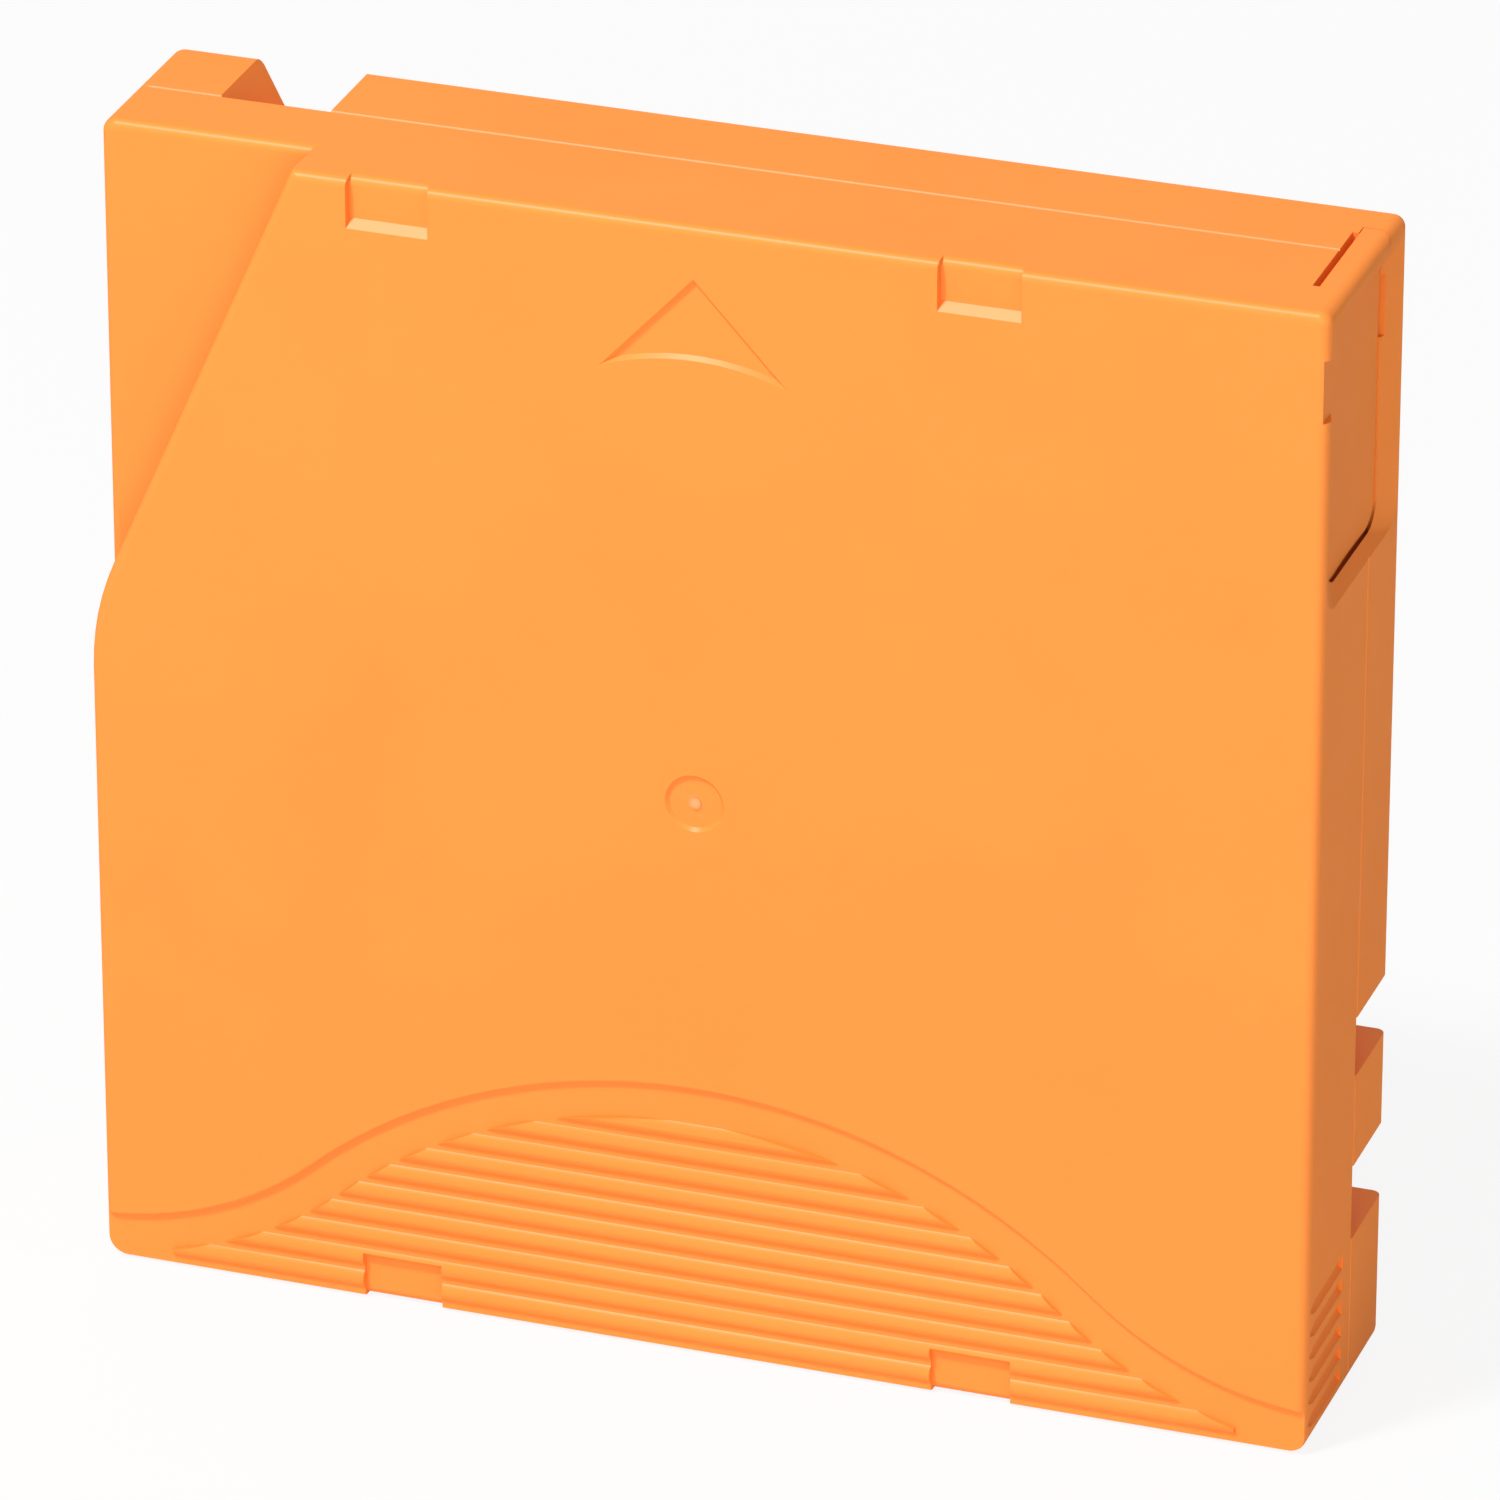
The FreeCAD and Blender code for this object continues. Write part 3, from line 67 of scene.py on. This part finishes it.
# Springs: wire thickness in metres, turns, steps of one turn, sides of a wire, and the coils' axes
DOOR_WIRE = 0.0004
DOOR_TURNS = 16
BRAKE_WIRE = 0.0009
BRAKE_TURNS = 3
COIL_STEPS = 24
WIRE_SIDES = 8
UP_CASE = Vector((0.0, 0.0, 1.0))
THROUGH_CASE = Vector((0.0, 1.0, 0.0))

# Floor: a large pale sheet just below the object
FLOOR_SIZE = 6.0
FLOOR_DROP = 0.0002
FLOOR_COLOUR = (0.75, 0.75, 0.75, 1.0)
FLOOR_ROUGHNESS = 0.9
FLOOR_WHITENESS = 0.88
WHITE = (1.0, 1.0, 1.0, 1.0)

# Colours, linear: each material drifts between two
ORANGE = (0.97, 0.280, 0.046, 1.0)
ORANGE_DEEP = (0.95, 0.266, 0.042, 1.0)
REEL_GREY = (0.60, 0.61, 0.60, 1.0)
REEL_GREY_DEEP = (0.53, 0.54, 0.53, 1.0)
PALE = (0.74, 0.73, 0.68, 1.0)
PALE_DEEP = (0.67, 0.66, 0.61, 1.0)
DARK = (0.018, 0.018, 0.020, 1.0)
DARK_DEEP = (0.012, 0.012, 0.013, 1.0)
TAPE_BROWN = (0.020, 0.014, 0.011, 1.0)
TAPE_EDGE = (0.045, 0.034, 0.028, 1.0)
STEEL = (0.58, 0.58, 0.59, 1.0)
STEEL_DEEP = (0.46, 0.46, 0.47, 1.0)

# Texture scales in repeats per metre, and depths in metres
DRIFT_SCALE = 40.0
GLOSS_SCALE = 260.0
GRAIN_SCALE = 3200.0
BRUSH_SCALE = 5200.0
WIND_SCALE = 4200.0
CASE_GRAIN = 0.000010
FINE_GRAIN = 0.000006
BRUSH_DEPTH = 0.000004
WIND_DEPTH = 0.000010

# Noise levels at which a drift begins and ends
NOISE_LOW = 0.3
NOISE_HIGH = 0.7

# Pattern scales along X, Y and Z: a small one draws marks along its axis, and zero flattens it
EVEN = (1.0, 1.0, 1.0)
ALONG_Y = (1.0, 0.1, 1.0)
ALONG_Z = (1.0, 1.0, 0.1)
FLAT_Y = (1.0, 0.0, 1.0)

# Painted highlight: a paler spot on the moulding gate's nub in the middle of the upper face: colour, and
# radii in metres
GATE_HIGHLIGHT = (0.97, 0.36, 0.15, 1.0)
GATE_CORE = 0.0002
GATE_EDGE = 0.0008

# Gloss: a thin skin over matt plastic, and the middle roughness of each material
PLASTIC_SPECULAR = 0.03
SKIN_WEIGHT = 0.05
SKIN_IOR = 4.0
SKIN_ROUGHNESS = 0.38
GLOSS_SPREAD = 0.05
CASE_ROUGHNESS = 0.70
DOOR_ROUGHNESS = 0.65
DARK_ROUGHNESS = 0.40
REEL_ROUGHNESS = 0.38
PALE_ROUGHNESS = 0.34
TAPE_ROUGHNESS = 0.35
STEEL_ROUGHNESS = 0.32


def add_object(name, data):
    """A new object in the scene, at the origin."""
    thing = bpy.data.objects.new(name, data)
    bpy.context.scene.collection.objects.link(thing)
    return thing


def reel_height():
    """Height of the reel's axis, which is the middle of the wound tape."""
    low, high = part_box("tape_pack")
    return (low.z + high.z) / 2


def new_material(name):
    """A node material with its tree and its shader."""
    material = bpy.data.materials.new(name)
    material.use_nodes = True
    tree = material.node_tree
    return material, tree, tree.nodes["Principled BSDF"]


def add_node(tree, kind, **inputs):
    """A new node with some of its input values set; underscores in a name stand for spaces."""
    node = tree.nodes.new(kind)
    for name, value in inputs.items():
        node.inputs[name.replace("_", " ")].default_value = value
    return node


def noise(tree, scale, stretch=EVEN):
    """Noise in the object's own space, stretched along its axes."""
    place = tree.nodes.new("ShaderNodeTexCoord")
    mapping = add_node(tree, "ShaderNodeMapping", Scale=stretch)
    texture = add_node(tree, "ShaderNodeTexNoise", Scale=scale)
    tree.links.new(place.outputs["Object"], mapping.inputs["Vector"])
    tree.links.new(mapping.outputs["Vector"], texture.inputs["Vector"])
    return texture.outputs["Fac"]


def blend_colours(tree, factor, first, second, target):
    """Mix two colours, from low to high noise, into a socket."""
    ramp = tree.nodes.new("ShaderNodeValToRGB")
    low, high = ramp.color_ramp.elements
    low.position = NOISE_LOW
    low.color = first
    high.position = NOISE_HIGH
    high.color = second
    tree.links.new(factor, ramp.inputs["Fac"])
    tree.links.new(ramp.outputs["Color"], target)


def spread(tree, factor, middle, reach, target):
    """Map noise to a range of values round a middle, into a socket."""
    mapped = add_node(tree, "ShaderNodeMapRange", From_Min=NOISE_LOW, From_Max=NOISE_HIGH)
    mapped.inputs["To Min"].default_value = middle - reach
    mapped.inputs["To Max"].default_value = middle + reach
    tree.links.new(factor, mapped.inputs["Value"])
    tree.links.new(mapped.outputs["Result"], target)


def bump(tree, height, depth, shader):
    """Raise the surface by a height pattern, at most by depth."""
    node = add_node(tree, "ShaderNodeBump", Distance=depth)
    tree.links.new(height, node.inputs["Height"])
    tree.links.new(node.outputs["Normal"], shader.inputs["Normal"])


def moulded_plastic(name, colour, deep, roughness, grain):
    """Moulded plastic with a slight drift of colour, uneven gloss and a fine grain."""
    material, tree, shader = new_material(name)
    shader.inputs["Specular IOR Level"].default_value = PLASTIC_SPECULAR
    shader.inputs["Coat Weight"].default_value = SKIN_WEIGHT
    shader.inputs["Coat IOR"].default_value = SKIN_IOR
    shader.inputs["Coat Roughness"].default_value = SKIN_ROUGHNESS
    blend_colours(tree, noise(tree, DRIFT_SCALE), deep, colour, shader.inputs["Base Color"])
    spread(tree, noise(tree, GLOSS_SCALE), roughness, GLOSS_SPREAD, shader.inputs["Roughness"])
    bump(tree, noise(tree, GRAIN_SCALE), grain, shader)
    return material


def paint_gate_highlight(material):
    """Paint a highlight round the gate's nub: the base colour fades to a paler one there."""
    tree = material.node_tree
    target = tree.nodes["Principled BSDF"].inputs["Base Color"]
    plain = target.links[0].from_socket
    nub = (0.0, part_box("upper_shell")[0].y, reel_height())
    place = tree.nodes.new("ShaderNodeTexCoord")
    distance = tree.nodes.new("ShaderNodeVectorMath")
    distance.operation = "DISTANCE"
    distance.inputs[1].default_value = nub
    fade = add_node(tree, "ShaderNodeMapRange", From_Min=GATE_EDGE, From_Max=GATE_CORE)
    mix = add_node(tree, "ShaderNodeMixRGB", Color2=GATE_HIGHLIGHT)
    tree.links.new(place.outputs["Object"], distance.inputs[0])
    tree.links.new(distance.outputs["Value"], fade.inputs["Value"])
    tree.links.new(fade.outputs["Result"], mix.inputs["Fac"])
    tree.links.new(plain, mix.inputs["Color1"])
    tree.links.new(mix.outputs["Color"], target)


def bare_steel(name, stretch):
    """Bare steel with fine tool marks along one direction."""
    material, tree, shader = new_material(name)
    marks = noise(tree, BRUSH_SCALE, stretch)
    shader.inputs["Metallic"].default_value = 1.0
    blend_colours(tree, marks, STEEL_DEEP, STEEL, shader.inputs["Base Color"])
    spread(tree, marks, STEEL_ROUGHNESS, GLOSS_SPREAD, shader.inputs["Roughness"])
    bump(tree, marks, BRUSH_DEPTH, shader)
    return material


def wound_tape(name):
    """Tape seen on its wound edge: fine rings round the reel's axis."""
    material, tree, shader = new_material(name)
    place = tree.nodes.new("ShaderNodeTexCoord")
    shift = (0.0, 0.0, -reel_height())
    mapping = add_node(tree, "ShaderNodeMapping", Location=shift, Scale=FLAT_Y)
    distance = tree.nodes.new("ShaderNodeVectorMath")
    distance.operation = "LENGTH"
    rings = add_node(tree, "ShaderNodeTexNoise", Scale=WIND_SCALE)
    rings.noise_dimensions = "1D"
    tree.links.new(place.outputs["Object"], mapping.inputs["Vector"])
    tree.links.new(mapping.outputs["Vector"], distance.inputs[0])
    tree.links.new(distance.outputs["Value"], rings.inputs["W"])
    blend_colours(tree, rings.outputs["Fac"], TAPE_BROWN, TAPE_EDGE, shader.inputs["Base Color"])
    spread(tree, rings.outputs["Fac"], TAPE_ROUGHNESS, GLOSS_SPREAD, shader.inputs["Roughness"])
    bump(tree, rings.outputs["Fac"], WIND_DEPTH, shader)
    return material


def dress(material, *names):
    """Give a material to CAD nodes."""
    for name in names:
        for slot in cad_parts[name].material_slots:
            slot.material = material


def dress_case():
    """Materials of the shells, the door and small pieces of the case, and of the clip on the leader pin."""
    case = moulded_plastic("case_orange", ORANGE, ORANGE_DEEP, CASE_ROUGHNESS, CASE_GRAIN)
    # The case's colour gets a painted highlight, a paler spot, round the gate's nub
    paint_gate_highlight(case)
    dress(case, "upper_shell", "lower_shell")
    dress(moulded_plastic("door_orange", ORANGE, ORANGE_DEEP, DOOR_ROUGHNESS, FINE_GRAIN), "door")
    dress(bare_steel("screw_steel", EVEN), "case_screws")
    dark = moulded_plastic("dark_plastic", DARK, DARK_DEEP, DARK_ROUGHNESS, FINE_GRAIN)
    dress(dark, "write_protect_slide", "memory_chip", "leader_clip")


def dress_reel():
    """Materials of the reel, its brake, the tape and the leader pin."""
    grey = moulded_plastic("reel_grey", REEL_GREY, REEL_GREY_DEEP, REEL_ROUGHNESS, FINE_GRAIN)
    dress(grey, "reel_hub", "upper_flange")
    pale = moulded_plastic("pale_plastic", PALE, PALE_DEEP, PALE_ROUGHNESS, FINE_GRAIN)
    dress(pale, "brake_button", "release_plate")
    dress(wound_tape("tape"), "tape_pack", "leader_tape")
    dress(bare_steel("turned_steel", ALONG_Y), "clutch_plate", "leader_pin")


def coil_points(middle, along, radius, wire, length, turns):
    """Rings of points round a wire that is wound about an axis."""
    side = along.orthogonal().normalized()
    count = turns * COIL_STEPS
    angles = [2 * math.pi * corner / WIRE_SIDES for corner in range(WIRE_SIDES)]
    points = []
    for index in range(count + 1):
        outward = Matrix.Rotation(2 * math.pi * index / COIL_STEPS, 3, along) @ side
        centre = middle + outward * radius + along * (length - wire) * (index / count - 0.5)
        points += [centre + (outward * math.cos(a) + along * math.sin(a)) * wire / 2 for a in angles]
    return points


def coil_faces(turns):
    """Faces between the rings of points, and one on each end of the wire."""
    last = turns * COIL_STEPS * WIRE_SIDES
    corners = list(range(WIRE_SIDES))
    faces = [corners, [last + corner for corner in reversed(corners)]]
    for start in range(0, last, WIRE_SIDES):
        for corner in corners:
            here = start + corner
            beside = start + (corner + 1) % WIRE_SIDES
            faces.append((here, here + WIRE_SIDES, beside + WIRE_SIDES, beside))
    return faces


def add_spring(name, node, along, wire, turns, material):
    """A round coil in the place of a CAD spring, hung on the case."""
    low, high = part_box(node)
    length = (high - low).dot(along)
    radius = (high.x - low.x - wire) / 2
    points = coil_points((low + high) / 2, along, radius, wire, length, turns)
    mesh = bpy.data.meshes.new(name)
    mesh.from_pydata(points, [], coil_faces(turns))
    mesh.shade_smooth()
    mesh.materials.append(material)
    piece = add_object(name, mesh)
    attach(piece, "case")
    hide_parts(node)
    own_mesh(piece)


def make_springs():
    """The two coils, and the leaf spring that shares their steel."""
    steel = bare_steel("spring_steel", ALONG_Z)
    dress(steel, "pin_retainer")
    add_spring("door_coil", "door_spring", UP_CASE, DOOR_WIRE, DOOR_TURNS, steel)
    add_spring("brake_coil", "brake_spring", THROUGH_CASE, BRAKE_WIRE, BRAKE_TURNS, steel)


def seen_directly(tree):
    """1 for rays that show the background itself: camera, glossy and transmission rays."""
    path = tree.nodes.new("ShaderNodeLightPath")
    result = path.outputs["Is Camera Ray"]
    for name in ("Is Glossy Ray", "Is Transmission Ray"):
        either = tree.nodes.new("ShaderNodeMath")
        either.operation = "MAXIMUM"
        tree.links.new(result, either.inputs[0])
        tree.links.new(path.outputs[name], either.inputs[1])
        result = either.outputs["Value"]
    return result


def make_world():
    """A white studio: it looks white, and lights the object at a plain level."""
    world = bpy.data.worlds.new("studio")
    world.use_nodes = True
    tree = world.node_tree
    lit = tree.nodes["Background"]
    lit.inputs["Color"].default_value = WHITE
    lit.inputs["Strength"].default_value = WORLD_LIGHT
    shown = add_node(tree, "ShaderNodeBackground", Color=WHITE)
    mix = tree.nodes.new("ShaderNodeMixShader")
    tree.links.new(seen_directly(tree), mix.inputs["Fac"])
    tree.links.new(lit.outputs["Background"], mix.inputs[1])
    tree.links.new(shown.outputs["Background"], mix.inputs[2])
    tree.links.new(mix.outputs["Shader"], tree.nodes["World Output"].inputs["Surface"])
    bpy.context.scene.world = world


def floor_material():
    """Pale and matt, almost white to the camera, still taking a soft shadow."""
    material, tree, shader = new_material("floor")
    shader.inputs["Base Color"].default_value = FLOOR_COLOUR
    shader.inputs["Roughness"].default_value = FLOOR_ROUGHNESS
    glow = add_node(tree, "ShaderNodeEmission", Color=WHITE)
    share = tree.nodes.new("ShaderNodeMath")
    share.operation = "MULTIPLY"
    share.inputs[1].default_value = FLOOR_WHITENESS
    mix = tree.nodes.new("ShaderNodeMixShader")
    tree.links.new(seen_directly(tree), share.inputs[0])
    tree.links.new(share.outputs["Value"], mix.inputs["Fac"])
    tree.links.new(shader.outputs["BSDF"], mix.inputs[1])
    tree.links.new(glow.outputs["Emission"], mix.inputs[2])
    tree.links.new(mix.outputs["Shader"], tree.nodes["Material Output"].inputs["Surface"])
    return material


def make_floor():
    """The square floor sheet, which is not part of the object."""
    half = FLOOR_SIZE / 2
    corners = [(-half, -half), (half, -half), (half, half), (-half, half)]
    mesh = bpy.data.meshes.new("floor")
    mesh.from_pydata([(x, y, -FLOOR_DROP) for x, y in corners], [], [(0, 1, 2, 3)])
    mesh.materials.append(floor_material())
    add_object("floor", mesh)


def aim(thing, place):
    """Put a light or camera at a place, looking at the object."""
    thing.location = place
    direction = Vector(CAMERA_AIM) - Vector(place)
    thing.rotation_euler = direction.to_track_quat("-Z", "Y").to_euler()


def make_light(name, place, power, size):
    """A square soft light, turned to the object."""
    light = bpy.data.lights.new(name, "AREA")
    light.energy = power
    light.size = size
    aim(add_object(name, light), place)


def make_camera():
    """The camera at the photograph's viewing angle."""
    camera = bpy.data.cameras.new("camera")
    camera.sensor_width = SENSOR_WIDTH
    camera.lens = CAMERA_LENS
    holder = add_object("camera", camera)
    aim(holder, CAMERA_PLACE)
    bpy.context.scene.camera = holder


dress_case()
dress_reel()
make_springs()
make_world()
make_floor()
make_light("key", KEY_PLACE, KEY_POWER, KEY_SIZE)
make_light("front", FRONT_PLACE, FRONT_POWER, FRONT_SIZE)
make_light("back", BACK_PLACE, BACK_POWER, BACK_SIZE)
make_camera()
bpy.context.scene.view_settings.view_transform = "Standard"
